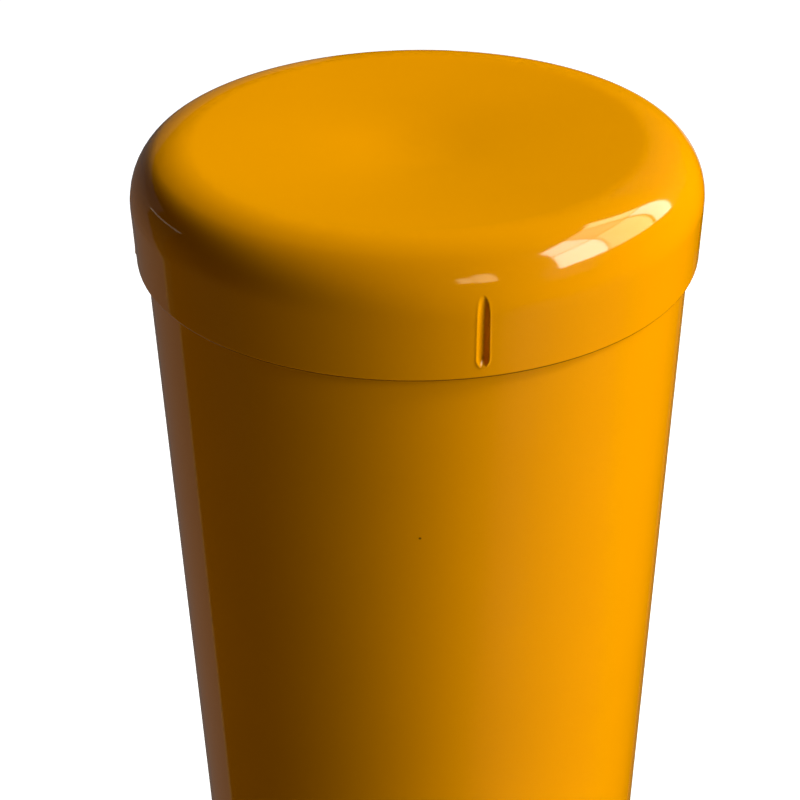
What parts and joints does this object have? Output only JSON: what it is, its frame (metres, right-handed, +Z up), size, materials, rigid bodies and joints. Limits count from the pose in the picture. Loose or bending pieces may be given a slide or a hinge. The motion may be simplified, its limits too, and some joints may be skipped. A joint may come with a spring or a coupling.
{
  "type": "safety bollard",
  "caption": "Round steel safety bollard on a ribbed square base plate, with a pressed dished cap that lifts off the open post.",
  "frame": {"origin": "on the post's axis, at the underside of the base plate", "axes": "+Z up along the post, -Y towards the front; the cap has a grip groove at the front, right, back and left"},
  "size_m": [0.3, 0.3, 1],
  "materials": {
    "cap_coat": "high-gloss safety yellow paint",
    "post_coat": "high-gloss safety yellow paint",
    "base_coat": "high-gloss safety yellow paint",
    "weld_coat": "painted weld bead"
  },
  "bodies": {
    "post": {"post_tube": "post_coat", "base_plate": "base_coat", "base_weld": "weld_coat", "gusset_front": "base_coat", "gusset_right": "base_coat", "gusset_back": "base_coat", "gusset_left": "base_coat", "gusset_weld_front": "weld_coat", "gusset_weld_right": "weld_coat", "gusset_weld_back": "weld_coat", "gusset_weld_left": "weld_coat"},
    "cap": {"cap": "cap_coat"}
  },
  "joints": [
    {"name": "cap_lift", "type": "slide", "parent": "post", "child": "cap", "axis": [0, 0, 1], "range_m": [0, 0.1]}
  ]
}
